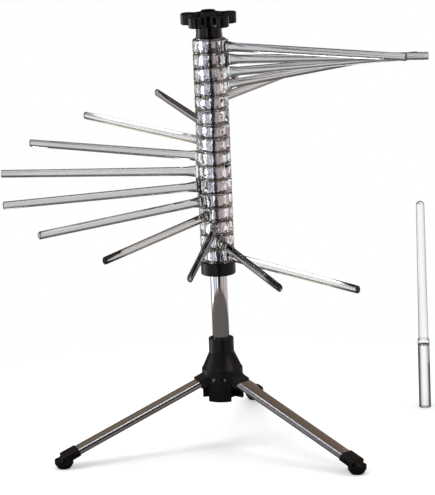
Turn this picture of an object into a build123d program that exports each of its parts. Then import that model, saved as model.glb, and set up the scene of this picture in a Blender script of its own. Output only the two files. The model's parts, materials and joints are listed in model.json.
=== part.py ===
from build123d import *
from math import atan2, cos, degrees, hypot, radians, sin
import os

# Pasta drying rack that stands on the table. Sixteen clear arms are threaded on a chromed tube,
# turn about it one above the other, and are clamped by the star knob on top. Three flat-oval
# legs fold down under the base hub. Millimetres, +Z up. The origin is on the tube's axis at the
# level of the table, and +X points along the second arm from the top.

os.makedirs("parts", exist_ok=True)

# Whole rack
arm_count = 16
arm_step = 360 / arm_count
arm_reach = 230.0
fan_height = 206.5
foot_radius = 182.0
leg_count = 3
rear_leg_azimuth = 86.0

# Clearances
running_clearance = 0.2
seat_clearance = 0.05
pin_clearance = 0.05
side_clearance = 0.3
stop_gap = 0.1
overrun = 3.0

# Arm hubs, threaded on the tube
tube_diameter = 18.0
hub_diameter = 36.0
hub_pitch = 15.0
pad_reach = 19.5
pad_width = 13.0

# Lug under each hub and the curved slot that it runs in
lug_circle_radius = 13.0
lug_width = 4.0
lug_arc = 34.0
lug_height = 2.6
lug_headroom = 0.5

# Arm rods, upright ovals that thin out to the tip
boss_width = 9.0
boss_height = 12.0
boss_length = 12.0
rod_root_width = 7.2
rod_root_height = 9.6
rod_tip_width = 6.2
rod_tip_height = 8.3

# Centre tube
tube_wall = 1.0
tube_setback = 0.8
tube_seat_depth = 30.0
insert_length = 26.0
plug_length = 22.0

# Collar under the lowest hub
collar_diameter = 37.0
collar_height = 14.0
collar_screw_diameter = 4.0
collar_screw_setback = 0.6
hex_key_size = 2.0
hex_key_depth = 2.5

# Clamp washer and star knob
washer_diameter = 28.0
washer_thickness = 1.2
neck_height = 13.6
neck_diameter = 28.4
head_height = 12.0
head_bevel = 1.2
lobe_count = 5
lobe_azimuth = 25.2
lobe_circle_radius = 22.6
lobe_radius = 8.0
head_core_radius = 19.0
valley_fillet = 5.0
dish_radius = 15.0
dish_depth = 1.6
cap_diameter = 18.0
cap_thickness = 2.6
cap_bevel = 0.6
stud_diameter = 8.0
stud_reach = 24.0
stud_head_size = 13.0
stud_head_height = 5.3

# Base hub
pivot_height = 79.0
pivot_radius = 15.0
pivot_to_hub_floor = 24.5
base_hub_diameter = 44.0
base_skirt_height = 35.0
base_shoulder_height = 16.0
base_neck_height = 16.0
base_neck_diameter = 27.0
base_screw_diameter = 6.0
base_screw_engagement = 18.0
base_screw_head_diameter = 10.0
base_screw_head_height = 4.0
base_screw_head_setback = 1.0
base_screw_key_size = 4.0
base_screw_key_depth = 2.4

# Legs
leg_width = 18.5
leg_height = 7.0
leg_wall = 0.8
foot_axis_height = 11.0
eye_radius = 6.0
shank_height = 10.0
shank_length = 14.0
tongue_length = 24.0
pin_diameter = 4.0
pin_length = 30.0

# Feet
sleeve_wall = 1.3
sleeve_before_foot = 17.0
sleeve_past_foot = 1.0
sleeve_end_wall = 2.0
cup_radius = 10.0
cup_wall_height = 4.4
cup_base_radius = 7.2
cup_flare_height = 4.2
toe_reach = 8.0
toe_width = 14.0
pad_radius = 6.2
pad_thickness = 2.0
pad_stands_out = 1.0

# Pick-up wand, which stands on its hollow handle beside the rack
wand_distance = 254.6
wand_azimuth = 35.2
wand_length = 235.5
wand_handle_diameter = 13.2
wand_handle_length = 78.5
wand_root_diameter = 11.0
wand_tip_diameter = 9.2
wand_bore_diameter = 9.8
wand_bore_depth = 74.5

# Sizes that follow from those above
tube_radius = tube_diameter / 2
tube_bore_radius = tube_radius - tube_wall
hub_radius = hub_diameter / 2
slot_depth = lug_height + lug_headroom
fan_top = fan_height + arm_count * hub_pitch
tube_top = fan_top - tube_setback
hub_floor = pivot_height - pivot_to_hub_floor
base_hub_top = hub_floor + base_skirt_height + base_shoulder_height + base_neck_height
tube_bottom = base_hub_top - tube_seat_depth
collar_floor = fan_height - collar_height
collar_screw_height = collar_floor + collar_height / 2 - lug_height / 2
leg_run = foot_radius - pivot_radius
leg_drop = pivot_height - foot_axis_height
leg_length = hypot(leg_run, leg_drop)
leg_tilt = atan2(leg_drop, leg_run)
leg_azimuths = {
    "rear": rear_leg_azimuth,
    "left": rear_leg_azimuth + 360 / leg_count,
    "right": rear_leg_azimuth - 360 / leg_count,
}


def upright_plane(azimuth):
    """Plane through the rack's axis: its x runs outward at the azimuth and its y runs up."""
    outward = (cos(radians(azimuth)), sin(radians(azimuth)), 0)
    return Plane(origin=(0, 0, 0), x_dir=outward, z_dir=(outward[1], -outward[0], 0))


def leg_point(distance, above=0):
    """Place in the leg's upright plane, so far along the leg from its pivot and above its axis."""
    out = pivot_radius + distance * cos(leg_tilt) + above * sin(leg_tilt)
    return out, pivot_height - distance * sin(leg_tilt) + above * cos(leg_tilt)


def leg_section(distance):
    """Plane square to the leg at azimuth 0, so far from the pivot: its x is level."""
    out, height = leg_point(distance)
    return Plane(origin=(out, 0, height), x_dir=(0, 1, 0), z_dir=(cos(leg_tilt), 0, -sin(leg_tilt)))


def lug_outline(play, start, sweep):
    """Ring sector on the lug circle from a start angle, with play added all round."""
    slack = degrees(play / lug_circle_radius)
    reach = lug_width / 2 + play
    with BuildLine() as outline:
        outer = CenterArc((0, 0), lug_circle_radius + reach, start - slack, sweep + 2 * slack)
        inner = CenterArc((0, 0), lug_circle_radius - reach, start - slack, sweep + 2 * slack)
        Line(outer @ 0, inner @ 0)
        Line(outer @ 1, inner @ 1)
    make_face(outline.edges())


def write(piece, name):
    """Names one sub-part and writes its file."""
    piece.label = name
    export_step(piece, f"parts/{name}.step")


# Arm: hub ring, flat pad and oval rod in one clear moulding, made at azimuth 0 with its rod at
# height 0. The lug under the hub lies across from the rod. The slot in the hub's top takes the
# lug of the arm above, which turns through one step: behind this arm when open, over it when
# closed.
lug_start = 180 - lug_arc / 2
with BuildPart() as arm:
    with BuildSketch(Plane.XY.offset(-hub_pitch / 2)):
        Circle(hub_radius)
        with Locations((pad_reach / 2, 0)):
            Rectangle(pad_reach, pad_width)
    extrude(amount=hub_pitch)
    with BuildSketch(Plane.XY.offset(-hub_pitch / 2)):
        Circle(tube_radius + running_clearance)
    extrude(amount=hub_pitch, mode=Mode.SUBTRACT)
    with BuildSketch(Plane.XY.offset(hub_pitch / 2)):
        lug_outline(side_clearance, lug_start - arm_step, lug_arc + arm_step)
    extrude(amount=-slot_depth, mode=Mode.SUBTRACT)
    with BuildSketch(Plane.XY.offset(-hub_pitch / 2)):
        lug_outline(0, lug_start, lug_arc)
    extrude(amount=-lug_height)
    with BuildSketch(Plane.YZ.offset(pad_reach)):
        Ellipse(boss_width / 2, boss_height / 2)
    with BuildSketch(Plane.YZ.offset(pad_reach + boss_length)):
        Ellipse(rod_root_width / 2, rod_root_height / 2)
    with BuildSketch(Plane.YZ.offset(arm_reach)):
        Ellipse(rod_tip_width / 2, rod_tip_height / 2)
    loft(ruled=True)

for level in range(arm_count):
    height = fan_top - (level + 0.5) * hub_pitch
    placed_arm = Location((0, 0, height), (0, 0, (level - 1) * arm_step)) * arm.part
    write(placed_arm, f"arm_{level + 1:02d}")

# Azimuth of the lowest arm, which the collar holds still
last_arm_azimuth = (arm_count - 2) * arm_step

# Centre tube: chromed steel, drilled at the back for the collar's grub screw
with BuildPart() as centre_tube:
    with BuildSketch(Plane.XY.offset(tube_bottom)):
        Circle(tube_radius)
        Circle(tube_bore_radius, mode=Mode.SUBTRACT)
    extrude(amount=tube_top - tube_bottom)
    with BuildSketch(Plane.XZ):
        with Locations((0, collar_screw_height)):
            Circle(collar_screw_diameter / 2 + seat_clearance)
    extrude(amount=-tube_diameter, mode=Mode.SUBTRACT)
write(centre_tube.part, "centre_tube")

# Tube insert: steel, pressed in the tube's top, with the thread for the knob's stud
with BuildPart() as tube_insert:
    with BuildSketch(Plane.XY.offset(tube_top - insert_length)):
        Circle(tube_bore_radius - seat_clearance)
        Circle(stud_diameter / 2 + pin_clearance, mode=Mode.SUBTRACT)
    extrude(amount=insert_length)
write(tube_insert.part, "tube_insert")

# Tube plug: steel, pressed in the tube's foot, with the thread for the base screw
with BuildPart() as tube_plug:
    with BuildSketch(Plane.XY.offset(tube_bottom)):
        Circle(tube_bore_radius - seat_clearance)
        Circle(base_screw_diameter / 2 + seat_clearance, mode=Mode.SUBTRACT)
    extrude(amount=plug_length)
write(tube_plug.part, "tube_plug")

# Stack collar: black ring that carries the arms and keys the lowest one by its lug
with BuildPart() as stack_collar:
    with BuildSketch(Plane.XY.offset(collar_floor)):
        Circle(collar_diameter / 2)
        Circle(tube_radius + seat_clearance, mode=Mode.SUBTRACT)
    extrude(amount=collar_height)
    with BuildSketch(Plane.XY.offset(fan_height)):
        lug_outline(seat_clearance, lug_start + last_arm_azimuth, lug_arc)
    extrude(amount=-slot_depth, mode=Mode.SUBTRACT)
    with BuildSketch(Plane.XZ):
        with Locations((0, collar_screw_height)):
            Circle(collar_screw_diameter / 2 + seat_clearance)
    extrude(amount=-collar_diameter, mode=Mode.SUBTRACT)
write(stack_collar.part, "stack_collar")

# Collar screw: socket grub screw at the back, its end in the hole through the tube's wall
collar_screw_mouth = collar_diameter / 2 - collar_screw_setback
with BuildPart() as collar_screw:
    with BuildSketch(Plane.XZ.offset(-tube_bore_radius)):
        with Locations((0, collar_screw_height)):
            Circle(collar_screw_diameter / 2)
    extrude(amount=-(collar_screw_mouth - tube_bore_radius))
    with BuildSketch(Plane.XZ.offset(-collar_screw_mouth)):
        with Locations((0, collar_screw_height)):
            RegularPolygon(hex_key_size / 2, 6, major_radius=False)
    extrude(amount=hex_key_depth, mode=Mode.SUBTRACT)
write(collar_screw.part, "collar_screw")

# Clamp washer: steel, held captive on the stud, presses on the top hub
knob_floor = fan_top + washer_thickness
with BuildPart() as clamp_washer:
    with BuildSketch(Plane.XY.offset(fan_top)):
        Circle(washer_diameter / 2)
        Circle(stud_diameter / 2 + side_clearance, mode=Mode.SUBTRACT)
    extrude(amount=washer_thickness)
write(clamp_washer.part, "clamp_washer")

# Star knob: round neck under a head with five lobes, dished on top
head_floor = knob_floor + neck_height
head_top = head_floor + head_height
dish_floor = head_top - dish_depth
cap_seat = dish_floor - cap_thickness + cap_bevel
stud_head_seat = cap_seat - stud_head_height
with BuildPart() as knob:
    with BuildSketch(Plane.XY.offset(head_floor)) as star:
        Circle(head_core_radius)
        with PolarLocations(lobe_circle_radius, lobe_count, start_angle=lobe_azimuth):
            Circle(lobe_radius)
        fillet(star.vertices(), valley_fillet)
    extrude(amount=head_height)
    chamfer(knob.edges().group_by(Axis.Z)[-1], head_bevel)
    with BuildSketch(Plane.XY.offset(head_floor)):
        Circle(neck_diameter / 2)
    extrude(amount=-neck_height)
    with BuildSketch(Plane.XY.offset(head_top)):
        Circle(dish_radius)
    extrude(amount=-dish_depth, mode=Mode.SUBTRACT)
    with BuildSketch(Plane.XY.offset(dish_floor)):
        Circle(cap_diameter / 2 + seat_clearance)
    extrude(amount=cap_seat - dish_floor, mode=Mode.SUBTRACT)
    with BuildSketch(Plane.XY.offset(cap_seat)):
        RegularPolygon(stud_head_size / 2 + seat_clearance, 6, major_radius=False)
    extrude(amount=-stud_head_height, mode=Mode.SUBTRACT)
    with BuildSketch(Plane.XY.offset(stud_head_seat)):
        Circle(stud_diameter / 2 + seat_clearance)
    extrude(amount=knob_floor - stud_head_seat, mode=Mode.SUBTRACT)
write(knob.part, "knob")

# Knob cap: snaps in over the stud's head, its bevelled rim just proud of the dish
with BuildPart() as knob_cap:
    with BuildSketch(Plane.XY.offset(cap_seat)):
        Circle(cap_diameter / 2)
    extrude(amount=cap_thickness)
    chamfer(knob_cap.edges().group_by(Axis.Z)[-1], cap_bevel)
write(knob_cap.part, "knob_cap")

# Knob stud: hexagon bolt let into the head, its thread reaching down into the tube insert
stud_end = knob_floor - stud_reach
with BuildPart() as knob_stud:
    with BuildSketch(Plane.XY.offset(stud_head_seat)):
        RegularPolygon(stud_head_size / 2, 6, major_radius=False)
    extrude(amount=stud_head_height)
    with BuildSketch(Plane.XY.offset(stud_head_seat)):
        Circle(stud_diameter / 2)
    extrude(amount=stud_end - stud_head_seat)
write(knob_stud.part, "knob_stud")

# Base hub: black moulding with a socket for the tube and a forked slot for each leg.
# The slot's ceiling slopes with the leg and stops it there; its mouth lets the leg swing down.
base_hub_radius = base_hub_diameter / 2
skirt_top = hub_floor + base_skirt_height
shoulder_top = skirt_top + base_shoulder_height
eye_room = eye_radius + side_clearance
ceiling_offset = shank_height / 2 + stop_gap
ceiling_start = leg_point(0, ceiling_offset)
ceiling_end = leg_point(base_hub_diameter, ceiling_offset)
with BuildPart() as base_hub:
    with BuildSketch(Plane.XZ):
        with BuildLine():
            Polyline(
                (0, hub_floor),
                (base_hub_radius, hub_floor),
                (base_hub_radius, skirt_top),
                (base_neck_diameter / 2, shoulder_top),
                (base_neck_diameter / 2, base_hub_top),
                (0, base_hub_top),
                close=True,
            )
        make_face()
    revolve(axis=Axis.Z)
    with BuildSketch(Plane.XY.offset(base_hub_top)):
        Circle(tube_radius + seat_clearance)
    extrude(amount=-tube_seat_depth, mode=Mode.SUBTRACT)
    for azimuth in leg_azimuths.values():
        with BuildSketch(upright_plane(azimuth)):
            with Locations((pivot_radius, pivot_height)):
                Circle(eye_room)
            with BuildLine():
                Polyline(
                    ceiling_start,
                    ceiling_end,
                    (ceiling_end[0], hub_floor - overrun),
                    (pivot_radius - eye_room, hub_floor - overrun),
                    (pivot_radius - eye_room, pivot_height),
                    close=True,
                )
            make_face()
        extrude(amount=leg_width / 2 + side_clearance, both=True, mode=Mode.SUBTRACT)
        with BuildSketch(upright_plane(azimuth)):
            with Locations((pivot_radius, pivot_height)):
                Circle(pin_diameter / 2 + seat_clearance)
        extrude(amount=base_hub_radius, both=True, mode=Mode.SUBTRACT)
    with BuildSketch(Plane.XY.offset(hub_floor)):
        Circle(base_screw_head_diameter / 2 + side_clearance)
    extrude(amount=base_screw_head_setback + base_screw_head_height, mode=Mode.SUBTRACT)
    with BuildSketch(Plane.XY.offset(hub_floor)):
        Circle(base_screw_diameter / 2 + seat_clearance)
    extrude(amount=tube_bottom - hub_floor, mode=Mode.SUBTRACT)
write(base_hub.part, "base_hub")

# Base screw: socket screw from below that draws the tube down into the base hub
screw_head_seat = hub_floor + base_screw_head_setback + base_screw_head_height
with BuildPart() as base_screw:
    with BuildSketch(Plane.XY.offset(screw_head_seat)):
        Circle(base_screw_head_diameter / 2)
    extrude(amount=-base_screw_head_height)
    with BuildSketch(Plane.XY.offset(screw_head_seat - base_screw_head_height)):
        RegularPolygon(base_screw_key_size / 2, 6, major_radius=False)
    extrude(amount=base_screw_key_depth, mode=Mode.SUBTRACT)
    with BuildSketch(Plane.XY.offset(screw_head_seat)):
        Circle(base_screw_diameter / 2)
    extrude(amount=tube_bottom + base_screw_engagement - screw_head_seat)
write(base_screw.part, "base_screw")

# Leg tube: flat-oval chromed tube from the knuckle's shoulder into the foot's sleeve
sleeve_start = leg_length - sleeve_before_foot
sleeve_end = leg_length + sleeve_past_foot
leg_tube_end = sleeve_end - sleeve_end_wall
with BuildPart() as leg_tube:
    with BuildSketch(leg_section(shank_length)):
        SlotOverall(leg_width, leg_height)
        SlotOverall(leg_width - 2 * leg_wall, leg_height - 2 * leg_wall, mode=Mode.SUBTRACT)
    extrude(amount=leg_tube_end - shank_length)

# Leg knuckle: nylon eye, shank and tongue; the tongue is pressed into the leg tube
tongue_width = leg_width - 2 * leg_wall - 2 * seat_clearance
tongue_height = leg_height - 2 * leg_wall - 2 * seat_clearance
with BuildPart() as leg_knuckle:
    with BuildSketch(upright_plane(0)):
        with Locations((pivot_radius, pivot_height)):
            Circle(eye_radius)
    extrude(amount=leg_width / 2, both=True)
    with BuildSketch(leg_section(0)):
        Rectangle(leg_width, shank_height)
    extrude(amount=shank_length)
    with BuildSketch(leg_section(shank_length)):
        SlotOverall(tongue_width, tongue_height)
    extrude(amount=tongue_length)
    with BuildSketch(upright_plane(0)):
        with Locations((pivot_radius, pivot_height)):
            Circle(pin_diameter / 2 + pin_clearance)
    extrude(amount=leg_width, both=True, mode=Mode.SUBTRACT)

# Leg pin: steel, across the fork of the base hub
with BuildPart() as leg_pin:
    with BuildSketch(upright_plane(0)):
        with Locations((pivot_radius, pivot_height)):
            Circle(pin_diameter / 2)
    extrude(amount=pin_length / 2, both=True)

# Leg foot: black sleeve over the tube's end, closed outside and sunk in a flared cup, with a
# sloping toe down to the cup's rim. The cup's floor has a shallow seat for the rubber pad.
cup_floor = pad_stands_out
cup_wall_floor = cup_floor + cup_flare_height
with BuildPart() as leg_foot:
    with BuildSketch(leg_section(sleeve_start)):
        SlotOverall(leg_width + 2 * sleeve_wall, leg_height + 2 * sleeve_wall)
    extrude(amount=sleeve_end - sleeve_start)
    with BuildSketch(Plane(origin=(foot_radius, 0, cup_floor))):
        Circle(cup_base_radius)
    with BuildSketch(Plane(origin=(foot_radius, 0, cup_wall_floor))):
        Circle(cup_radius)
    loft()
    with BuildSketch(Plane(origin=(foot_radius, 0, cup_wall_floor))):
        Circle(cup_radius)
    extrude(amount=cup_wall_height)
    with BuildSketch(upright_plane(0)):
        with BuildLine():
            Polyline(
                (foot_radius, cup_wall_floor),
                (foot_radius, foot_axis_height),
                leg_point(sleeve_end, leg_height / 2),
                (foot_radius + toe_reach, cup_wall_floor),
                close=True,
            )
        make_face()
    extrude(amount=toe_width / 2, both=True)
    with BuildSketch(leg_section(sleeve_start)):
        SlotOverall(leg_width + 2 * seat_clearance, leg_height + 2 * seat_clearance)
    extrude(amount=leg_tube_end - sleeve_start, mode=Mode.SUBTRACT)
    with BuildSketch(Plane(origin=(foot_radius, 0, cup_floor))):
        Circle(pad_radius + seat_clearance)
    extrude(amount=pad_thickness - pad_stands_out, mode=Mode.SUBTRACT)

# Foot pad: grey rubber disc let into the cup
with BuildPart() as foot_pad:
    with BuildSketch(Plane(origin=(foot_radius, 0, 0))):
        Circle(pad_radius)
    extrude(amount=pad_thickness)

leg_pieces = {
    "leg_tube": leg_tube.part,
    "leg_knuckle": leg_knuckle.part,
    "leg_pin": leg_pin.part,
    "leg_foot": leg_foot.part,
    "foot_pad": foot_pad.part,
}
for side, azimuth in leg_azimuths.items():
    for name, piece in leg_pieces.items():
        write(Location((0, 0, 0), (0, 0, azimuth)) * piece, f"{name}_{side}")

# Wand: clear rod with a rounded tip and a wider, hollow handle whose blind bore slips over the
# tip of an arm. It stands on the handle's open end.
wand_x = wand_distance * cos(radians(wand_azimuth))
wand_y = wand_distance * sin(radians(wand_azimuth))
wand_tip_radius = wand_tip_diameter / 2
wand_plane = Plane(origin=(wand_x, wand_y, 0), x_dir=(1, 0, 0), z_dir=(0, -1, 0))
with BuildPart() as wand:
    with BuildSketch(wand_plane):
        with BuildLine():
            Polyline(
                (0, wand_length),
                (0, 0),
                (wand_handle_diameter / 2, 0),
                (wand_handle_diameter / 2, wand_handle_length),
                (wand_root_diameter / 2, wand_handle_length),
                (wand_tip_radius, wand_length - wand_tip_radius),
            )
            CenterArc((0, wand_length - wand_tip_radius), wand_tip_radius, 0, 90)
        make_face()
    revolve(axis=Axis((wand_x, wand_y, 0), (0, 0, 1)))
    with BuildSketch(Plane(origin=(wand_x, wand_y, 0))):
        Circle(wand_bore_diameter / 2)
    extrude(amount=wand_bore_depth, mode=Mode.SUBTRACT)
write(wand.part, "wand")
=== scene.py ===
import json
from math import acos, cos, hypot, pi, radians, sin, tau

import bmesh
import bpy
from mathutils import Matrix, Vector


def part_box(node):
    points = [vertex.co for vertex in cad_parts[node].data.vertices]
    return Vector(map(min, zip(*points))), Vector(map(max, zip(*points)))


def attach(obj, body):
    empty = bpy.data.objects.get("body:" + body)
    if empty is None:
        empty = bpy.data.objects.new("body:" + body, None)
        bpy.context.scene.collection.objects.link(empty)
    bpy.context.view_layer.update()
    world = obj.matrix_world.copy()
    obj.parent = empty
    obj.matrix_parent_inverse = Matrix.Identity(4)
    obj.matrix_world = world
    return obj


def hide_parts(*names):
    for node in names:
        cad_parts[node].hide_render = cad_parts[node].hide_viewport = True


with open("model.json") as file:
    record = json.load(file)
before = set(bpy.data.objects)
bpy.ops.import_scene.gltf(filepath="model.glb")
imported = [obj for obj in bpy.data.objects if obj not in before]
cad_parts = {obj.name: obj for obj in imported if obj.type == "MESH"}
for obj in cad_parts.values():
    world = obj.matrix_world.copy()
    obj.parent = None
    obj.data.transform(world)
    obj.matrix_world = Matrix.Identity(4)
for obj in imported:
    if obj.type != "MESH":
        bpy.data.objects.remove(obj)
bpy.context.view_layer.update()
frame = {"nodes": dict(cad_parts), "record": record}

# Pasta drying rack: sixteen clear arms fan out round a chromed post on three folding legs, with a
# star knob on top and a clear pick-up wand beside it. Metres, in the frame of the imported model.

# Camera: a long lens, at its bearing and distance from the post and its height above the table.
# It stands where the photograph was taken from, looks down a little and leans to one side.
camera_azimuth = radians(-82.82)
camera_distance = 3.472
camera_height = 1.0495
camera_pitch = radians(13.43)
camera_roll = radians(2.28)
lens_length = 243.3
sensor_width = 36

camera_data = bpy.data.cameras.new("camera")
camera_data.lens = lens_length
camera_data.sensor_width = sensor_width
camera = bpy.data.objects.new("camera", camera_data)
bpy.context.scene.collection.objects.link(camera)
camera.matrix_world = (
    Matrix.Translation((camera_distance * cos(camera_azimuth), camera_distance * sin(camera_azimuth),
                        camera_height))
    @ Matrix.Rotation(camera_azimuth + pi / 2, 4, "Z")
    @ Matrix.Rotation(pi / 2 - camera_pitch, 4, "X")
    @ Matrix.Rotation(-camera_roll, 4, "Z")
)
bpy.context.scene.camera = camera
bpy.context.scene.view_settings.view_transform = "Standard"


# Table top: a round of matt white laminate. It glows a little to the eye, so that it reads as
# white and still keeps the rack's shadow. In mirrors it is the mid grey of a worktop.
table_radius = 0.45
table_sides = 96
table_glow = 0.34
table_white = "#E6E6E6"
worktop_grey = "#7E7A76"


def linear(code):
    """An sRGB hex colour as linear RGBA."""
    shares = [int(code[i:i + 2], 16) / 255 for i in (1, 3, 5)]
    return [s / 12.92 if s <= 0.04045 else ((s + 0.055) / 1.055) ** 2.4 for s in shares] + [1.0]


def add_node(tree, kind, settings=(), links=(), stops=()):
    """Adds a node, sets its properties, inputs and colour stops, and links inputs to sockets."""
    made = tree.nodes.new(kind)
    for key, value in dict(settings).items():
        if isinstance(key, str) and hasattr(made, key):
            setattr(made, key, value)
        else:
            made.inputs[key].default_value = value
    for key, socket in dict(links).items():
        tree.links.new(made.inputs[key], socket)
    if stops:
        ramp = made.color_ramp.elements
        ramp[0].position = stops[0][0]
        ramp[1].position = stops[-1][0]
        for place, _ in stops[1:-1]:
            ramp.new(place)
        for stop, (_, code) in zip(ramp, stops):
            stop.color = linear(code)
    return made


def new_material(name, slot):
    """A node material, its tree, and the shader that its finish is set on."""
    made = bpy.data.materials.new(name)
    made.use_nodes = True
    made["slot"] = slot
    return made, made.node_tree, made.node_tree.nodes["Principled BSDF"]


def after_mirror(tree, rays):
    """One for a ray that has met a mirror on its way, straight or through clear plastic."""
    return add_node(tree, "ShaderNodeMath", {"operation": "GREATER_THAN", 1: 0.5},
                    {0: rays.outputs["Glossy Depth"]})


bpy.ops.object.select_all(action="DESELECT")
bpy.ops.mesh.primitive_circle_add(vertices=table_sides, radius=table_radius, fill_type="NGON")
table_top = bpy.context.object
table_top.name = "table_top"
laminate, tree, shader = new_material("white_laminate", None)
shader.inputs["Roughness"].default_value = 0.9
shader.inputs["Specular IOR Level"].default_value = 0.0
shader.inputs["Emission Color"].default_value = linear("#FFFFFF")
rays = add_node(tree, "ShaderNodeLightPath")
mirrored = after_mirror(tree, rays)
colour = add_node(tree, "ShaderNodeMix",
                  {"data_type": "RGBA", 6: linear(table_white), 7: linear(worktop_grey)},
                  {0: mirrored.outputs[0]})
tree.links.new(shader.inputs["Base Color"], colour.outputs[2])
seen = add_node(tree, "ShaderNodeMath", {"operation": "MAXIMUM"},
                {0: rays.outputs["Is Camera Ray"], 1: rays.outputs["Is Transmission Ray"]})
direct = add_node(tree, "ShaderNodeMath", {"operation": "SUBTRACT", "use_clamp": True},
                  {0: seen.outputs[0], 1: mirrored.outputs[0]})
glow = add_node(tree, "ShaderNodeMath", {"operation": "MULTIPLY", 1: table_glow},
                {0: direct.outputs[0]})
tree.links.new(shader.inputs["Emission Strength"], glow.outputs[0])
table_top.data.materials.append(laminate)


# Studio: white to the camera, and plain grey light on the rack. The chrome mirrors upright cards
# that stand round it: brown on the right, lilac grey on the left, black behind the camera, and
# one white box far left.
plain_light = 0.55
card_light = 4
studio = bpy.data.worlds.new("studio")
studio.use_nodes = True
bpy.context.scene.world = studio
tree = studio.node_tree
tree.nodes.clear()
way = add_node(tree, "ShaderNodeTexCoord")
faced = add_node(tree, "ShaderNodeMapping", {"Rotation": (0, 0, -camera_azimuth)},
                 {"Vector": way.outputs["Generated"]})
axes = add_node(tree, "ShaderNodeSeparateXYZ", {}, {0: faced.outputs[0]})
bearing = add_node(tree, "ShaderNodeMath", {"operation": "ARCTAN2"},
                   {0: axes.outputs["Y"], 1: axes.outputs["X"]})

# The cards' stops are shares of the way round, with the camera's side at 0.5. The other stops are
# shares of the way up, with eye level at 0.5. The room darkens and tints the cards: it is dark low
# down, white up to eye level, then black, cream, brown and dark, and white overhead. Clear plastic
# shows dark grey underfoot, white below eye level, dark grey above it, and white overhead.
share = add_node(tree, "ShaderNodeMapRange", {"From Min": -pi, "From Max": pi},
                 {"Value": bearing.outputs[0]})
height = add_node(tree, "ShaderNodeMapRange", {"From Min": -1, "From Max": 1},
                  {"Value": axes.outputs["Z"]})
cards = add_node(tree, "ShaderNodeValToRGB", {}, {0: share.outputs[0]}, stops=[
    (0.00, "#5E5A58"), (0.06, "#4E4A48"), (0.12, "#57545A"), (0.17, "#76767E"), (0.195, "#FFFFFF"),
    (0.235, "#FFFFFF"), (0.255, "#6E6E78"), (0.30, "#8E8E98"), (0.335, "#5A5A64"), (0.365, "#A8A8B2"),
    (0.385, "#50505A"), (0.415, "#86868C"), (0.43, "#343438"), (0.44, "#C8C8C8"), (0.455, "#C4C4C4"),
    (0.465, "#1C1C20"), (0.55, "#1C1A1E"), (0.565, "#5E5857"), (0.58, "#6A6262"), (0.66, "#7A706E"),
    (0.70, "#5E5654"), (0.74, "#8A8280"), (0.80, "#625A5A"), (0.86, "#8C8684"), (0.95, "#5E5A58"),
])
room = add_node(tree, "ShaderNodeValToRGB", {}, {0: height.outputs[0]}, stops=[
    (0.00, "#2A2826"), (0.20, "#4A4642"), (0.30, "#FFFFFF"), (0.50, "#FFFFFF"), (0.54, "#242426"),
    (0.64, "#242426"), (0.68, "#DCCDB8"), (0.74, "#DCCDB8"), (0.79, "#AA9789"), (0.84, "#A09080"),
    (0.88, "#3A3836"), (1.00, "#FFFFFF"),
])
cards_in_room = add_node(tree, "ShaderNodeMix",
                         {"data_type": "RGBA", "blend_type": "MULTIPLY", 0: 1.0},
                         {6: cards.outputs[0], 7: room.outputs[0]})
in_mirrors = add_node(tree, "ShaderNodeVectorMath", {"operation": "SCALE", "Scale": card_light},
                      {0: cards_in_room.outputs[2]})
through_plastic = add_node(tree, "ShaderNodeValToRGB", {}, {0: height.outputs[0]}, stops=[
    (0.00, "#3A3A3E"), (0.10, "#5A5A5E"), (0.20, "#B0B0B2"), (0.27, "#FFFFFF"), (0.50, "#FFFFFF"),
    (0.60, "#8A8A8E"), (0.78, "#4A4A4E"), (1.00, "#FFFFFF"),
])
rays = add_node(tree, "ShaderNodeLightPath")
mirrored = after_mirror(tree, rays)
plain_grey = (plain_light, plain_light, plain_light, 1)
unmirrored = add_node(tree, "ShaderNodeMix", {"data_type": "RGBA", 6: plain_grey},
                      {0: rays.outputs["Is Transmission Ray"], 7: through_plastic.outputs[0]})
shown = add_node(tree, "ShaderNodeMix", {"data_type": "RGBA"},
                 {0: mirrored.outputs[0], 6: unmirrored.outputs[2], 7: in_mirrors.outputs[0]})
final = add_node(tree, "ShaderNodeMix", {"data_type": "RGBA", 7: (1, 1, 1, 1)},
                 {0: rays.outputs["Is Camera Ray"], 6: shown.outputs[2]})
light = add_node(tree, "ShaderNodeBackground", {}, {"Color": final.outputs[2]})
add_node(tree, "ShaderNodeOutputWorld", {}, {"Surface": light.outputs[0]})

# Soft boxes: degrees round from the camera's side and up, distance, width, height, watts, and
# whether mirrors show them
lamp_aim = Vector((0, 0, 0.25))
for name, side, rise, away, wide, tall, watts, mirrored_too in [
    ("soft_box_left", -65, 60, 2.0, 0.6, 0.9, 14.0, False),
    ("soft_box_right", 62, 46, 2.4, 1.0, 1.0, 8.0, True),
    ("soft_box_top", 160, 68, 2.0, 1.2, 1.2, 10.0, False),
]:
    lamp_data = bpy.data.lights.new(name, "AREA")
    lamp_data.shape = "RECTANGLE"
    lamp_data.size = wide
    lamp_data.size_y = tall
    lamp_data.energy = watts
    lamp = bpy.data.objects.new(name, lamp_data)
    lamp.visible_glossy = mirrored_too
    bpy.context.scene.collection.objects.link(lamp)
    toward = Vector((cos(radians(rise)) * cos(camera_azimuth + radians(side)),
                     cos(radians(rise)) * sin(camera_azimuth + radians(side)), sin(radians(rise))))
    lamp.matrix_world = (Matrix.Translation(lamp_aim + toward * away)
                         @ toward.to_track_quat("Z", "Y").to_matrix().to_4x4())


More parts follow.
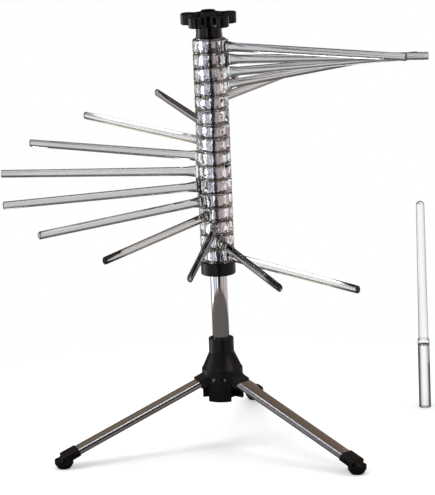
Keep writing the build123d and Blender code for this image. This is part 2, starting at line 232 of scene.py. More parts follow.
# Arms: sixteen clear mouldings of styrene acrylonitrile. Each is a hub ring, threaded on the
# post, with a flat pad and one oval rod. A lug under the hub runs in a curved slot in the top of
# the hub below, so that each arm swings one step and stops.
mm = 0.001
hair = 0.01 * mm  # points this near are one
arm_count = 16
arm_step = tau / arm_count
fan_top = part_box("clamp_washer")[0].z
post_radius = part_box("centre_tube")[1].x
hub_pitch = 15 * mm
hub_radius = 18 * mm
hub_sides = 96
hub_face_gap = 0.05 * mm
hub_rim_round = 1.8 * mm
bore_play = 0.2 * mm
pad_reach = 19.5 * mm
pad_width = 13 * mm
pad_round = 1.0 * mm
hub_fade = 3 * mm
lug_circle_radius = 13 * mm
lug_width = 4 * mm
lug_arc = radians(34)
lug_height = 2.6 * mm
lug_headroom = 0.5 * mm
lug_side_play = 0.3 * mm
lug_steps = 24
rod_sides = 48
rod_sections = [  # distance out, width and height, in millimetres
    (17.0, 9.0, 12.0), (19.4, 12.2, 14.3), (19.7, 10.6, 13.2), (20.4, 9.6, 12.4), (21.6, 9.1, 12.0),
    (25.0, 8.3, 11.2), (28.5, 7.6, 10.1), (31.5, 7.2, 9.6), (60.0, 7.06, 9.42), (120.0, 6.75, 9.0),
    (180.0, 6.45, 8.65), (229.0, 6.2, 8.3), (229.4, 6.08, 8.18), (229.75, 5.75, 7.85), (230.0, 5.2, 7.3),
]


def select_only(piece):
    """Makes this the one selected and active object."""
    bpy.ops.object.select_all(action="DESELECT")
    piece.select_set(True)
    bpy.context.view_layer.objects.active = piece


def round_edges(piece, radius, segments, test):
    """Rounds those edges of a piece that pass the test."""
    select_only(piece)
    bpy.ops.object.mode_set(mode="EDIT")
    bpy.ops.mesh.select_mode(type="EDGE")
    bpy.ops.mesh.select_all(action="DESELECT")
    shape = bmesh.from_edit_mesh(piece.data)
    for edge in shape.edges:
        if test(edge):
            edge.select_set(True)
    shape.select_flush_mode()
    bmesh.update_edit_mesh(piece.data)
    bpy.ops.mesh.bevel(offset=radius, segments=segments, affect="EDGES", clamp_overlap=False)
    bpy.ops.object.mode_set(mode="OBJECT")


def is_level(edge):
    """Whether both ends of an edge are at one height."""
    return abs(edge.verts[0].co.z - edge.verts[1].co.z) < hair


def combine(piece, tool, operation):
    """Joins a tool shape to a piece, or cuts it away, and removes the tool."""
    select_only(piece)
    step = piece.modifiers.new(operation.lower(), "BOOLEAN")
    step.operation = operation
    step.solver = "EXACT"
    step.object = tool
    bpy.ops.object.modifier_apply(modifier=step.name)
    bpy.data.objects.remove(tool)


def solid(draw, name, **sizes):
    """Adds a primitive with nothing else selected, and gives its place to its mesh."""
    bpy.ops.object.select_all(action="DESELECT")
    draw(**sizes)
    made = bpy.context.object
    made.name = name
    bpy.ops.object.transform_apply(location=True, rotation=True, scale=True)
    return made


def line(name, points, fill=True):
    """Draws a line by extruding a vertex, fills it if asked, and stays in edit mode."""
    made = solid(bpy.ops.mesh.primitive_plane_add, name, size=mm, location=points[0])
    bpy.ops.object.mode_set(mode="EDIT")
    bpy.ops.mesh.select_mode(type="VERT")
    bpy.ops.mesh.select_all(action="SELECT")
    bpy.ops.mesh.merge(type="CENTER")
    for here, there in zip(points, points[1:]):
        bpy.ops.mesh.extrude_vertices_move(TRANSFORM_OT_translate={"value": Vector(there) - Vector(here)})
    bpy.ops.mesh.select_all(action="SELECT")
    if fill:
        bpy.ops.mesh.edge_face_add()
    return made


def bar(name, outline, run):
    """Draws an outline and extrudes it along a run."""
    made = line(name, outline)
    bpy.ops.mesh.extrude_region_move(TRANSFORM_OT_translate={"value": run})
    bpy.ops.mesh.select_all(action="SELECT")
    bpy.ops.mesh.remove_doubles(threshold=hair)
    bpy.ops.mesh.normals_make_consistent(inside=False)
    bpy.ops.object.mode_set(mode="OBJECT")
    return made


def bow(centre, radius, start, turn, steps):
    """Points of an arc in the XY plane."""
    return [(centre[0] + radius * cos(start + turn * i / steps),
             centre[1] + radius * sin(start + turn * i / steps), centre[2]) for i in range(steps + 1)]


def lug_bar(name, play, start, sweep, floor, depth):
    """A curved bar on the lug circle, with play added all round."""
    slack = play / lug_circle_radius
    reach = lug_width / 2 + play
    outer = bow((0, 0, floor), lug_circle_radius + reach, start - slack, sweep + 2 * slack, lug_steps)
    inner = bow((0, 0, floor), lug_circle_radius - reach, start + sweep + slack, -sweep - 2 * slack,
                lug_steps)
    return bar(name, outer + inner, (0, 0, depth))


def crisp(piece):
    """Smooths the round faces of a piece and keeps its edges."""
    select_only(piece)
    bpy.ops.object.shade_smooth_by_angle(angle=radians(32))


def copy_of(piece, name):
    """A copy of a piece with a mesh of its own."""
    copied = piece.copy()
    copied.data = piece.data.copy()
    copied.name = name
    bpy.context.scene.collection.objects.link(copied)
    return copied


half_hub = hub_pitch / 2 - hub_face_gap
arm = solid(bpy.ops.mesh.primitive_cylinder_add, "arm", vertices=hub_sides, radius=hub_radius,
            depth=2 * half_hub)
round_edges(arm, hub_rim_round, segments=5, test=is_level)
pad = solid(bpy.ops.mesh.primitive_cube_add, "pad", size=1, location=(pad_reach / 2, 0, 0),
            scale=(pad_reach, pad_width, 2 * half_hub))
round_edges(pad, pad_round, segments=4, test=lambda edge: True)
combine(arm, pad, "UNION")

start_x, start_wide, start_tall = rod_sections[0]
rod = solid(bpy.ops.mesh.primitive_circle_add, "rod", vertices=rod_sides,
            radius=start_tall / 2 * mm, fill_type="NGON", rotation=(pi / 2, 0, pi / 2),
            location=(start_x * mm, 0, 0))
bpy.ops.object.mode_set(mode="EDIT")
bpy.ops.mesh.select_all(action="SELECT")
bpy.ops.transform.resize(value=(1, start_wide / start_tall, 1))
for (x, wide, tall), (next_x, next_wide, next_tall) in zip(rod_sections, rod_sections[1:]):
    bpy.ops.mesh.extrude_region_move(TRANSFORM_OT_translate={"value": ((next_x - x) * mm, 0, 0)})
    bpy.ops.transform.resize(value=(1, next_wide / wide, next_tall / tall))
bpy.ops.mesh.select_all(action="SELECT")
bpy.ops.mesh.normals_make_consistent(inside=False)
bpy.ops.object.mode_set(mode="OBJECT")
combine(arm, rod, "UNION")

# The lug is opposite the rod and starts 1 mm inside the hub. The slot is one step longer, and its
# tool reaches 1 mm out of the hub's top.
lug_start = pi - lug_arc / 2
lug = lug_bar("lug", 0, lug_start, lug_arc, -half_hub - lug_height, lug_height + mm)
combine(arm, lug, "UNION")
slot = lug_bar("slot", lug_side_play, lug_start - arm_step, lug_arc + arm_step,
               hub_pitch / 2 - lug_height - lug_headroom, lug_height + lug_headroom + mm)
combine(arm, slot, "DIFFERENCE")
bore = solid(bpy.ops.mesh.primitive_cylinder_add, "bore", vertices=hub_sides,
             radius=post_radius + bore_play, depth=2 * hub_pitch)
combine(arm, bore, "DIFFERENCE")
crisp(arm)


# Clear styrene acrylonitrile, injection moulded in a polished tool: water clear, with painted shade that
# darkens it where the eye meets the surface at a slant. The thick hub has sink marks that bend what is
# seen through it. The rod is painted a darker grey, a painted shade for how the thin rod looks against
# its surroundings, with only the faint flow waves of a moulding.
def clear_moulding(name, slot, hub_colour, rod_painted_shade, painted_edge_shade, edge_from, edge_to,
                   wave_size, wave_depth, rod_waves, hub_reach):
    """Clear plastic. Past hub_reach from the post it fades to the rod's painted grey shade and share of
    waves, and from edge_from to edge_to of a full slant it turns to its painted dark edge shade."""
    made, tree, shader = new_material(name, slot)
    shader.inputs["Transmission Weight"].default_value = 1.0
    shader.inputs["IOR"].default_value = 1.57
    shader.inputs["Roughness"].default_value = 0.02
    place = add_node(tree, "ShaderNodeTexCoord")
    level = add_node(tree, "ShaderNodeVectorMath", {"operation": "MULTIPLY", 1: (1, 1, 0)},
                     {0: place.outputs["Object"]})
    out = add_node(tree, "ShaderNodeVectorMath", {"operation": "LENGTH"}, {0: level.outputs[0]})
    on_rod = add_node(tree, "ShaderNodeMapRange",
                      {"From Min": hub_reach, "From Max": hub_reach + hub_fade},
                      {"Value": out.outputs["Value"]})
    # Painted shade: past the hub the colour fades to the rod's darker grey, in place of the grey the thin
    # rod shows against its surroundings.
    body = add_node(tree, "ShaderNodeMix",
                    {"data_type": "RGBA", 6: linear(hub_colour), 7: linear(rod_painted_shade)},
                    {0: on_rod.outputs[0]})
    # Painted shade: the colour turns dark where the surface faces away from the eye, in place of the dark
    # edges that refraction gives.
    slant = add_node(tree, "ShaderNodeLayerWeight", {"Blend": 0.5})
    edge = add_node(tree, "ShaderNodeMapRange", {"From Min": edge_from, "From Max": edge_to},
                    {"Value": slant.outputs["Facing"]})
    slant_shaded = add_node(tree, "ShaderNodeMix", {"data_type": "RGBA", 7: linear(painted_edge_shade)},
                    {0: edge.outputs[0], 6: body.outputs[2]})
    tree.links.new(shader.inputs["Base Color"], slant_shaded.outputs[2])
    waves = add_node(tree, "ShaderNodeTexNoise", {"Scale": 1 / wave_size, "Detail": 1.0},
                     {"Vector": place.outputs["Object"]})
    depth = add_node(tree, "ShaderNodeMapRange", {"To Min": 1, "To Max": rod_waves},
                     {"Value": on_rod.outputs[0]})
    swell = add_node(tree, "ShaderNodeMath", {"operation": "MULTIPLY"},
                     {0: waves.outputs["Fac"], 1: depth.outputs[0]})
    relief = add_node(tree, "ShaderNodeBump", {"Strength": 1.0, "Distance": wave_depth},
                      {"Height": swell.outputs[0]})
    tree.links.new(shader.inputs["Normal"], relief.outputs[0])
    return made


# The arms' rod grey and dark edge colour below are painted shade.
clear_arm = clear_moulding("clear_styrene_moulding", "clear_arm", hub_colour="#F6F7F8",
                           rod_painted_shade="#C6C7C8", painted_edge_shade="#34363A", edge_from=0.5, edge_to=0.9,
                           wave_size=7 * mm, wave_depth=1.4 * mm, rod_waves=0.015,
                           hub_reach=hub_radius + mm)
arm.data.materials.append(clear_arm)
for level in range(1, arm_count + 1):
    copied = copy_of(arm, f"clear_arm_{level:02d}")
    rise = Matrix.Translation((0, 0, fan_top - (level - 0.5) * hub_pitch))
    copied.data.transform(rise @ Matrix.Rotation((level - 2) * arm_step, 4, "Z"))
    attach(copied, "stand" if level == arm_count else f"fan_arm_{level:02d}")
    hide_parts(f"arm_{level:02d}")
bpy.data.objects.remove(arm)


# Post: a chromed steel tube that the hubs turn on. A steel insert with the knob's thread is
# pressed in its top, and a plug for the base screw in its foot.
post_low, post_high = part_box("centre_tube")
post_wall = 1.0 * mm
post_lip = 0.2 * mm
post_sides = 128


def ride_for(piece, node):
    """Hands a finished piece to the body of the node that it stands for."""
    bodies = frame["record"]["behaviour"]["bodies"]
    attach(piece, next(body for body, members in bodies.items() if node in members))
    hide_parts(node)


def dress(node, material):
    """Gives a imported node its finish, with its facets welded and its round faces smooth."""
    piece = frame["nodes"][node]
    piece.data.materials.clear()
    piece.data.materials.append(material)
    piece.data.polygons.foreach_set("use_smooth", [True] * len(piece.data.polygons))
    weld = piece.modifiers.new("weld", "WELD")
    weld.merge_threshold = hair
    split = piece.modifiers.new("crisp_edges", "EDGE_SPLIT")
    split.split_angle = radians(30)


def turned(name, profile, steps=96):
    """Spins a profile in the XZ plane, closed or ending on the axis, round the upright axis."""
    made = line(name, profile, fill=False)
    bpy.ops.mesh.spin(steps=steps, angle=tau, center=(0, 0, 0), axis=(0, 0, 1))
    bpy.ops.mesh.select_all(action="SELECT")
    bpy.ops.mesh.remove_doubles(threshold=hair / 2)
    bpy.ops.mesh.normals_make_consistent(inside=False)
    bpy.ops.object.mode_set(mode="OBJECT")
    return made


def upright_bow(centre, radius, start, turn, steps):
    """Points of an arc in the XZ plane."""
    return [(x, 0, centre[1] + y) for x, y, _ in bow((centre[0], 0, 0), radius, start, turn, steps)]


post = turned("chromed_post", [
    (post_radius - post_wall, 0, post_low.z),
    *upright_bow((post_radius - post_lip, post_low.z + post_lip), post_lip, -pi / 2, pi / 2, 3),
    *upright_bow((post_radius - post_lip, post_high.z - post_lip), post_lip, 0, pi / 2, 3),
    (post_radius - post_wall, 0, post_high.z),
    (post_radius - post_wall, 0, post_low.z),
], steps=post_sides)
crisp(post)


# Bright chrome over nickel on polished steel tube: a hard mirror with a very slight ripple left
# by polishing.
def bright_chrome(name, slot, roughness, ripple_size, ripple_depth):
    """Chrome plate with a ripple of a given size and depth."""
    made, tree, shader = new_material(name, slot)
    shader.inputs["Base Color"].default_value = linear("#CFD0D2")
    shader.inputs["Metallic"].default_value = 1.0
    shader.inputs["Roughness"].default_value = roughness
    place = add_node(tree, "ShaderNodeTexCoord")
    ripple = add_node(tree, "ShaderNodeTexNoise", {"Scale": 1 / ripple_size, "Detail": 0.0},
                      {"Vector": place.outputs["Object"]})
    relief = add_node(tree, "ShaderNodeBump", {"Strength": 1.0, "Distance": ripple_depth},
                      {"Height": ripple.outputs["Fac"]})
    tree.links.new(shader.inputs["Normal"], relief.outputs[0])
    return made


# Steel, turned bright and left unplated: greyer and duller than the chrome, with rings from the
# lathe. They are drawn 0.63 mm apart, wider than real ones, so that they show.
def turned_steel(name, slot):
    """Bare steel with lathe rings round the upright axis."""
    made, tree, shader = new_material(name, slot)
    shader.inputs["Base Color"].default_value = linear("#B4B4B6")
    shader.inputs["Metallic"].default_value = 1.0
    shader.inputs["Roughness"].default_value = 0.28
    place = add_node(tree, "ShaderNodeTexCoord")
    rings = add_node(tree, "ShaderNodeTexWave",
                     {"wave_type": "RINGS", "rings_direction": "Z", "Scale": 1 / (2 * mm),
                      "Distortion": 0.3},
                     {"Vector": place.outputs["Object"]})
    relief = add_node(tree, "ShaderNodeBump", {"Strength": 0.4, "Distance": 0.01 * mm},
                      {"Height": rings.outputs["Fac"]})
    tree.links.new(shader.inputs["Normal"], relief.outputs[0])
    return made


chromed_post = bright_chrome("bright_chrome_post", "chromed_post", roughness=0.07,
                             ripple_size=7 * mm, ripple_depth=0.012 * mm)
post.data.materials.append(chromed_post)
ride_for(post, "centre_tube")
bright_steel = turned_steel("turned_bright_steel", "bright_steel")
for node in ("tube_insert", "tube_plug"):
    dress(node, bright_steel)


# Stack collar: a moulded black ring, held to the post by a grub screw at the back. It carries the
# stack of hubs, and its pocket holds the lowest hub's lug.
collar_low, collar_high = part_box("stack_collar")
collar_round = 0.9 * mm
seat_play = 0.05 * mm
grub_hole_out = 4 * mm
handled_patch = 12 * mm


def ring(name, inner, outer, low, high, rounding):
    """A turned ring with rounded outer edges."""
    return turned(name, [
        (inner, 0, low),
        *upright_bow((outer - rounding, low + rounding), rounding, -pi / 2, pi / 2, 5),
        *upright_bow((outer - rounding, high - rounding), rounding, 0, pi / 2, 5),
        (inner, 0, high),
        (inner, 0, low),
    ])


collar = ring("stack_collar_ring", post_radius + seat_play, collar_high.x, collar_low.z,
              collar_high.z, collar_round)
pocket = lug_bar("pocket", seat_play, lug_start + (arm_count - 2) * arm_step, lug_arc,
                 collar_high.z - lug_height - lug_headroom, lug_height + lug_headroom + mm)
combine(collar, pocket, "DIFFERENCE")
grub_low, grub_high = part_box("collar_screw")
grub_middle = (grub_low + grub_high) / 2
grub_hole = solid(bpy.ops.mesh.primitive_cylinder_add, "grub_hole", vertices=32,
                  radius=(grub_high.x - grub_low.x) / 2 + seat_play, depth=collar_high.x,
                  rotation=(pi / 2, 0, 0),
                  location=(0, grub_middle.y + grub_hole_out, grub_middle.z))
combine(collar, grub_hole, "DIFFERENCE")
crisp(collar)


# Black acrylonitrile butadiene styrene, injection moulded: the tool's polish shows on the knob,
# its spark-eroded grain on the collar and hub, drawn coarser than it is so that it shows.
# Handling leaves the surface a little duller in places.
def black_moulding(name, slot, shades, roughness, grain, grain_depth):
    """A dark moulding, from its two shades, roughness, and the size and depth of its grain."""
    made, tree, shader = new_material(name, slot)
    shader.inputs["IOR"].default_value = 1.53
    shader.inputs["Specular IOR Level"].default_value = 0.25
    place = add_node(tree, "ShaderNodeTexCoord")
    handling = add_node(tree, "ShaderNodeTexNoise", {"Scale": 1 / handled_patch, "Detail": 3.0},
                        {"Vector": place.outputs["Object"]})
    dulled = add_node(tree, "ShaderNodeMapRange",
                      {"To Min": roughness * 0.85, "To Max": roughness * 1.2},
                      {"Value": handling.outputs["Fac"]})
    shade = add_node(tree, "ShaderNodeValToRGB", {}, {0: handling.outputs["Fac"]},
                     stops=[(0.3, shades[0]), (0.7, shades[1])])
    tree.links.new(shader.inputs["Base Color"], shade.outputs[0])
    tree.links.new(shader.inputs["Roughness"], dulled.outputs[0])
    speckle = add_node(tree, "ShaderNodeTexNoise", {"Scale": 1 / grain, "Detail": 2.0},
                       {"Vector": place.outputs["Object"]})
    relief = add_node(tree, "ShaderNodeBump", {"Strength": 1.0, "Distance": grain_depth},
                      {"Height": speckle.outputs["Fac"]})
    tree.links.new(shader.inputs["Normal"], relief.outputs[0])
    return made


grained_black = black_moulding("grained_black_abs", "black_moulding", ("#08080A", "#0E0E10"),
                               roughness=0.36, grain=0.5 * mm, grain_depth=0.012 * mm)
collar.data.materials.append(grained_black)
ride_for(collar, "stack_collar")
dress("collar_screw", bright_steel)


# Clamp washer: a ring turned from bright steel and held captive under the knob. It passes the
# knob's pressure on to the stack of hubs and doesn't turn with it.
washer_low, washer_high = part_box("clamp_washer")
washer_bore = 4.3 * mm
washer_round = 0.3 * mm
washer = ring("clamp_washer_ring", washer_bore, washer_high.x, washer_low.z, washer_high.z,
              washer_round)
crisp(washer)
washer.data.materials.append(bright_steel)
ride_for(washer, "clamp_washer")


# Star knob: a gloss black moulding with a waisted neck and five lobes round a dished head. A
# hexagon bolt is let into it from above, under a snap-in cap.
knob_low, knob_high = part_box("knob")
head_height = 12 * mm
head_floor = knob_high.z - head_height
head_round = 1.3 * mm
lobe_count = 5
lobe_azimuth = radians(25.2)
lobe_circle = 22.6 * mm
lobe_radius = 8 * mm
lobe_steps = 28
core_radius = 19 * mm
valley_round = 5 * mm
valley_steps = 9
knob_neck_radius = 14.2 * mm
knob_neck_round = 0.5 * mm
knob_neck_flare = 1.0 * mm
waist_depth = 0.5 * mm
waist_low = knob_low.z + 0.6 * mm
waist_high = head_floor - 1.2 * mm
waist_steps = 12
dish_radius = 15 * mm
dish_depth = 1.6 * mm
dish_round = 1.2 * mm
bolt_head = 13 * mm
bolt_head_depth = 5.3 * mm
bolt_radius = 4 * mm
cap_low, cap_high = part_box("knob_cap")
cap_radius = (cap_high.x - cap_low.x) / 2
cap_round = 0.6 * mm
cap_rim = 1.6 * mm
cap_rim_dip = 0.1 * mm
cap_groove = 2.0 * mm
cap_groove_dip = 0.35 * mm
cap_middle_dip = 0.2 * mm

# Each lobe's arc runs into the arcs of the valleys beside it. The two triangles of lobe centre,
# valley centre and knob axis give where they meet.
valley_reach = core_radius + valley_round
centre_gap = lobe_radius + valley_round
valley_angle = acos((lobe_circle ** 2 + valley_reach ** 2 - centre_gap ** 2)
                    / (2 * lobe_circle * valley_reach))
lobe_turn = pi - acos((lobe_circle ** 2 + centre_gap ** 2 - valley_reach ** 2)
                      / (2 * lobe_circle * centre_gap))
valley_turn = lobe_turn - valley_angle
star = []
for i in range(lobe_count):
    azimuth = lobe_azimuth + i * tau / lobe_count
    valleys = [azimuth + valley_angle, azimuth + tau / lobe_count - valley_angle]
    first, second = [(valley_reach * cos(v), valley_reach * sin(v), head_floor) for v in valleys]
    middle = (lobe_circle * cos(azimuth), lobe_circle * sin(azimuth), head_floor)
    star += bow(middle, lobe_radius, azimuth - lobe_turn, 2 * lobe_turn, lobe_steps)
    star += bow(first, valley_round, azimuth + lobe_turn + pi, -valley_turn, valley_steps)
    star += bow(second, valley_round, valleys[1] + pi, -valley_turn, valley_steps)
knob = bar("star_knob", star, (0, 0, head_height))
round_edges(knob, head_round, segments=5, test=is_level)

neck = turned("neck", [
    (0, 0, knob_low.z),
    (knob_neck_radius - knob_neck_round, 0, knob_low.z),
    (knob_neck_radius, 0, knob_low.z + knob_neck_round),
    *[(knob_neck_radius - waist_depth * sin(pi * i / waist_steps), 0,
       waist_low + (waist_high - waist_low) * i / waist_steps) for i in range(1, waist_steps)],
    *upright_bow((knob_neck_radius + knob_neck_flare, head_floor - knob_neck_flare),
                 knob_neck_flare, pi, -pi / 2, 5),
    (knob_neck_radius + knob_neck_flare, 0, head_floor + mm),
    (0, 0, head_floor + mm),
])
combine(knob, neck, "UNION")
dish = turned("dish", [
    (0, 0, knob_high.z - dish_depth),
    *upright_bow((dish_radius - dish_round, knob_high.z - dish_depth + dish_round), dish_round,
                 -pi / 2, pi / 2, 5),
    (dish_radius, 0, knob_high.z + mm),
    (0, 0, knob_high.z + mm),
])
combine(knob, dish, "DIFFERENCE")
for name, sides, radius, low, high in [
    ("cap_seat", 64, cap_radius + seat_play, cap_low.z, knob_high.z),
    ("bolt_seat", 6, (bolt_head / 2 + seat_play) / cos(pi / 6), cap_low.z - bolt_head_depth, knob_high.z),
    ("bolt_hole", 48, bolt_radius + seat_play, knob_low.z - mm, knob_high.z),
]:
    hole = solid(bpy.ops.mesh.primitive_cylinder_add, name, vertices=sides, radius=radius,
                 depth=high - low, location=(0, 0, (high + low) / 2))
    combine(knob, hole, "DIFFERENCE")
crisp(knob)

# Polished moulding: nearly a black mirror, with a slow unevenness and no grain
gloss_black = black_moulding("polished_black_abs", "black_knob", ("#050506", "#08080A"),
                             roughness=0.1, grain=3 * mm, grain_depth=0.01 * mm)
knob.data.materials.append(gloss_black)
ride_for(knob, "knob")

cap = turned("knob_cap_disc", [
    (0, 0, cap_low.z),
    (cap_radius, 0, cap_low.z),
    *upright_bow((cap_radius - cap_round, cap_high.z - cap_round), cap_round, 0, pi / 2, 4),
    (cap_radius - cap_rim, 0, cap_high.z - cap_rim_dip),
    (cap_radius - cap_groove, 0, cap_high.z - cap_groove_dip),
    (0, 0, cap_high.z - cap_middle_dip),
])
crisp(cap)

# The cap's tool is less polished, so the cap is duller and a shade lighter than the knob
cap_black = black_moulding("polished_black_cap", "knob_cap", ("#08080A", "#0C0C0E"),
                           roughness=0.24, grain=2 * mm, grain_depth=0.008 * mm)
cap.data.materials.append(cap_black)
ride_for(cap, "knob_cap")
dress("knob_stud", bright_steel)


# Base hub: a black moulding with a socket for the post and three forked slots. Each slot's
# ceiling slopes with its leg and stops it there. A socket screw from below holds the post.
base_low, base_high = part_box("base_hub")
skirt_radius = 22 * mm
skirt_foot_round = 1 * mm
skirt_top = base_low.z + 35 * mm
shoulder_round = 2 * mm
shoulder_turn = radians(60)
shoulder_top = skirt_top + 16 * mm
base_neck_radius = 13.5 * mm
base_neck_round = 2 * mm
base_neck_turn = radians(27)
base_rim_round = 1 * mm
socket_floor = post_low.z
screw_seat_radius = 5.3 * mm
screw_seat_depth = 5 * mm
screw_way_radius = 3.05 * mm
pin_hole_radius = 2.05 * mm

# The legs' line: from a pivot in each slot down to the middle of each foot
leg_names = ["rear", "left", "right"]
pad_boxes = [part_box(f"foot_pad_{side}") for side in leg_names]
foot_places = [(low + high) / 2 for low, high in pad_boxes]
leg_azimuths = [Vector(place.xy).angle_signed(Vector((1, 0))) for place in foot_places]
foot_radius = Vector(foot_places[0].xy).length
foot_axis_height = 11 * mm
pin_low, pin_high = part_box("leg_pin_rear")
pivot_height = (pin_low.z + pin_high.z) / 2
pivot_radius = 15 * mm
pivot_place = Matrix.Translation((pivot_radius, 0, pivot_height))
leg_run = foot_radius - pivot_radius
leg_length = hypot(leg_run, pivot_height - foot_axis_height)
leg_slope = Matrix.Rotation(acos(leg_run / leg_length), 4, "Y")
leg_width = 18.5 * mm
leg_height = 7 * mm
fork_width = leg_width + 0.6 * mm
fork_back = 6.3 * mm
fork_back_turn = radians(60)
fork_ceiling = 5.1 * mm
fork_reach = 2 * skirt_radius

base = turned("base_hub_moulding", [
    (0, 0, base_low.z),
    *upright_bow((skirt_radius - skirt_foot_round, base_low.z + skirt_foot_round),
                 skirt_foot_round, -pi / 2, pi / 2, 4),
    *upright_bow((skirt_radius - shoulder_round, skirt_top - shoulder_round),
                 shoulder_round, 0, shoulder_turn, 5),
    *upright_bow((base_neck_radius + base_neck_round, shoulder_top + mm),
                 base_neck_round, pi + base_neck_turn, -base_neck_turn, 4),
    *upright_bow((base_neck_radius - base_rim_round, base_high.z - base_rim_round),
                 base_rim_round, 0, pi / 2, 4),
    (post_radius + seat_play, 0, base_high.z),
    (post_radius + seat_play, 0, socket_floor),
    (0, 0, socket_floor),
])
for azimuth in leg_azimuths:
    fork_place = Matrix.Rotation(azimuth, 4, "Z") @ pivot_place
    ceiling_start = leg_slope @ Vector((0, 0, fork_ceiling))
    ceiling_end = leg_slope @ Vector((fork_reach, 0, fork_ceiling))
    fork = bar("fork", [(x, -fork_width / 2, z) for x, _, z in [
        ceiling_start, ceiling_end, (ceiling_end.x, 0, -fork_reach), (-fork_back, 0, -fork_reach),
        *upright_bow((0, 0), fork_back, pi, -fork_back_turn, 6),
    ]], (0, fork_width, 0))
    fork.data.transform(fork_place)
    combine(base, fork, "DIFFERENCE")
    pin_hole = solid(bpy.ops.mesh.primitive_cylinder_add, "pin_hole", vertices=32,
                     radius=pin_hole_radius, depth=2 * skirt_radius, rotation=(pi / 2, 0, 0))
    pin_hole.data.transform(fork_place)
    combine(base, pin_hole, "DIFFERENCE")
for name, radius, high in [
    ("screw_seat", screw_seat_radius, base_low.z + screw_seat_depth),
    ("screw_way", screw_way_radius, socket_floor + mm),
]:
    hole = solid(bpy.ops.mesh.primitive_cylinder_add, name, vertices=48, radius=radius,
                 depth=2 * (high - base_low.z), location=(0, 0, base_low.z))
    combine(base, hole, "DIFFERENCE")
crisp(base)
base.data.materials.append(grained_black)
ride_for(base, "base_hub")
dress("base_screw", bright_steel)


# Legs: flat-oval chromed steel tubes. A nylon knuckle is pressed in each at the hub, where it
# turns on a steel pin.
leg_start = 14 * mm
leg_end = leg_length - mm
leg_wall = 0.8 * mm


def oval_outline(x, wide, tall):
    """A flat oval with round ends, in the YZ plane at a distance out."""
    straight = (wide - tall) / 2
    right = bow((straight, 0, x), tall / 2, -pi / 2, pi, 16)
    left = bow((-straight, 0, x), tall / 2, pi / 2, pi, 16)
    return [(x, y, z) for y, z, _ in right + left]


outline = oval_outline(leg_start, leg_width, leg_height)
tube = line("leg_tube", outline + outline[:1], fill=False)
bpy.ops.mesh.remove_doubles(threshold=hair)
bpy.ops.mesh.extrude_region_move(TRANSFORM_OT_translate={"value": (leg_end - leg_start, 0, 0)})
bpy.ops.mesh.select_all(action="SELECT")
bpy.ops.mesh.normals_make_consistent(inside=False)
bpy.ops.object.mode_set(mode="OBJECT")
wall = tube.modifiers.new("wall", "SOLIDIFY")
wall.thickness = leg_wall
wall.offset = -1
select_only(tube)
bpy.ops.object.modifier_apply(modifier="wall")
crisp(tube)

# The legs' chrome is a little softer than the post's, with longer ripples. Nylon is greyer and
# flatter than the hub.
chromed_leg = bright_chrome("bright_chrome_leg", "chromed_leg", roughness=0.13,
                            ripple_size=20 * mm, ripple_depth=0.01 * mm)
black_nylon = black_moulding("black_nylon", "black_nylon", ("#141416", "#1C1C1F"),
                             roughness=0.5, grain=0.4 * mm, grain_depth=0.02 * mm)
tube.data.materials.append(chromed_leg)
for side, azimuth in zip(leg_names, leg_azimuths):
    leg = copy_of(tube, f"chromed_leg_{side}")
    leg.data.transform(Matrix.Rotation(azimuth, 4, "Z") @ pivot_place @ leg_slope)
    ride_for(leg, f"leg_tube_{side}")
    dress(f"leg_knuckle_{side}", black_nylon)
    dress(f"leg_pin_{side}", bright_steel)
bpy.data.objects.remove(tube)


# Feet: black sleeves pushed over the leg tubes, each sunk in a flared cup with a thin rim and a
# sloping toe. A dark grey rubber pad is let into the cup's floor and stands out from it.
sleeve_start = leg_length - 17 * mm
sleeve_end = leg_length + mm
sleeve_wall = 1.3 * mm
sleeve_round = 0.9 * mm
mouth_play = 0.1 * mm
toe_reach = 8 * mm
toe_width = 14 * mm
toe_round = 3 * mm
cup_floor = 1 * mm
pad_seat_radius = 6.25 * mm
pad_seat_depth = 1 * mm
cup_base_radius = 7.2 * mm
cup_radius = 10 * mm
flare_top = 5.2 * mm
flare_corner_in = 0.5 * mm
flare_corner_down = 0.8 * mm
cup_top = 9.6 * mm
cup_rim_wall = 1.1 * mm
cup_rim_depth = 1.2 * mm
cup_rim_round = 0.4 * mm

foot = bar("foot", oval_outline(sleeve_start, leg_width + 2 * sleeve_wall, leg_height + 2 * sleeve_wall),
           (sleeve_end - sleeve_start, 0, 0))
round_edges(foot, sleeve_round, segments=4,
            test=lambda edge: abs(edge.verts[0].co.x - edge.verts[1].co.x) < hair)
mouth = bar("mouth", oval_outline(sleeve_start - mm, leg_width + mouth_play, leg_height + mouth_play),
            (leg_end - sleeve_start + mm, 0, 0))
along = pivot_place @ leg_slope
foot.data.transform(along)
mouth.data.transform(along)
toe_top = along @ Vector((sleeve_end, 0, leg_height / 2))
toe = bar("toe", [
    (foot_radius, -toe_width / 2, flare_top),
    (foot_radius, -toe_width / 2, foot_axis_height),
    (toe_top.x, -toe_width / 2, toe_top.z),
    (foot_radius + toe_reach, -toe_width / 2, flare_top),
], (0, toe_width, 0))
round_edges(toe, toe_round, segments=5, test=lambda edge: (
    min(v.co.x for v in edge.verts) > foot_radius + hair and not is_level(edge)))
bowl = turned("bowl", [
    (0, 0, cup_floor + pad_seat_depth),
    (pad_seat_radius, 0, cup_floor + pad_seat_depth),
    (pad_seat_radius, 0, cup_floor),
    (cup_base_radius, 0, cup_floor),
    (cup_radius - flare_corner_in, 0, flare_top - flare_corner_down),
    (cup_radius, 0, flare_top),
    *upright_bow((cup_radius - cup_rim_round, cup_top - cup_rim_round), cup_rim_round, 0, pi / 2, 3),
    (cup_radius - cup_rim_wall, 0, cup_top),
    (cup_radius - cup_rim_wall, 0, cup_top - cup_rim_depth),
    (0, 0, cup_top - cup_rim_depth),
], steps=64)
bowl.data.transform(Matrix.Translation((foot_radius, 0, 0)))
combine(foot, bowl, "UNION")
combine(foot, toe, "UNION")
combine(foot, mouth, "DIFFERENCE")
crisp(foot)

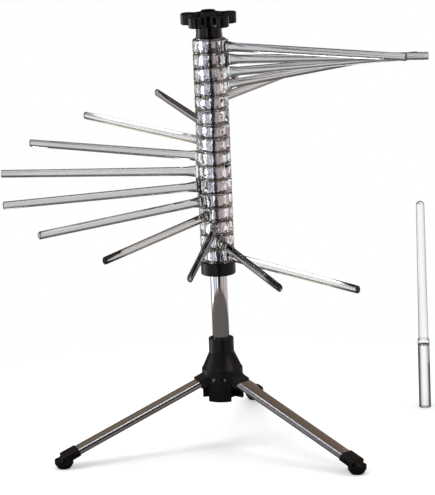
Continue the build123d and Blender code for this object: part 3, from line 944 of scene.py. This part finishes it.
# The feet have a satin moulded surface, with soft highlights. The rubber is matt and dark grey.
satin_black = black_moulding("satin_black_foot", "black_foot", ("#070709", "#0C0C0E"),
                             roughness=0.34, grain=0.5 * mm, grain_depth=0.015 * mm)
rubber = black_moulding("grey_rubber", "grey_rubber", ("#2A2A2C", "#343437"),
                        roughness=0.8, grain=0.4 * mm, grain_depth=0.03 * mm)
foot.data.materials.append(satin_black)
for side, azimuth in zip(leg_names, leg_azimuths):
    leg_foot = copy_of(foot, f"foot_{side}")
    leg_foot.data.transform(Matrix.Rotation(azimuth, 4, "Z"))
    ride_for(leg_foot, f"leg_foot_{side}")
    dress(f"foot_pad_{side}", rubber)
bpy.data.objects.remove(foot)


# Pick-up wand: a clear rod of the arms' plastic that stands by itself on its wider, hollow
# handle. The handle's bore slips over the tip of an arm.
wand_low, wand_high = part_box("wand")
wand_middle = (wand_low + wand_high) / 2
handle_radius = (wand_high.x - wand_low.x) / 2
handle_height = 78.5 * mm
handle_foot_round = 0.6 * mm
handle_top_round = 0.8 * mm
handle_bore_radius = 4.9 * mm
handle_bore_height = 74.5 * mm
handle_bore_mouth = 0.4 * mm
shaft_root_radius = 5.5 * mm
shaft_root_flare = 0.2 * mm
shaft_root_rise = 0.3 * mm
shaft_tip_radius = 4.6 * mm

wand = turned("pick_up_wand", [
    (0, 0, handle_bore_height),
    *upright_bow((0, handle_bore_height - handle_bore_radius), handle_bore_radius,
                 pi / 2, -pi / 2, 12),
    (handle_bore_radius, 0, handle_bore_mouth),
    (handle_bore_radius + handle_bore_mouth, 0, 0),
    *upright_bow((handle_radius - handle_foot_round, handle_foot_round), handle_foot_round,
                 -pi / 2, pi / 2, 4),
    *upright_bow((handle_radius - handle_top_round, handle_height - handle_top_round),
                 handle_top_round, 0, pi / 2, 4),
    (shaft_root_radius + shaft_root_flare, 0, handle_height),
    (shaft_root_radius, 0, handle_height + shaft_root_rise),
    *upright_bow((0, wand_high.z - shaft_tip_radius), shaft_tip_radius, 0, pi / 2, 12),
], steps=64)
crisp(wand)
wand.data.transform(Matrix.Translation((wand_middle.x, wand_middle.y, 0)))

# All of the wand lies past hub_reach, so it is rod throughout: colourless, with painted shade darkening
# its edges, and hardly a wave.
clear_wand = clear_moulding("clear_styrene_wand", "clear_wand", hub_colour="#FFFFFF",
                            rod_painted_shade="#FFFFFF", painted_edge_shade="#0A0A0C", edge_from=0.05,
                            edge_to=0.75, wave_size=9 * mm, wave_depth=0.02 * mm, rod_waves=1.0,
                            hub_reach=handle_radius)
wand.data.materials.append(clear_wand)
ride_for(wand, "wand")
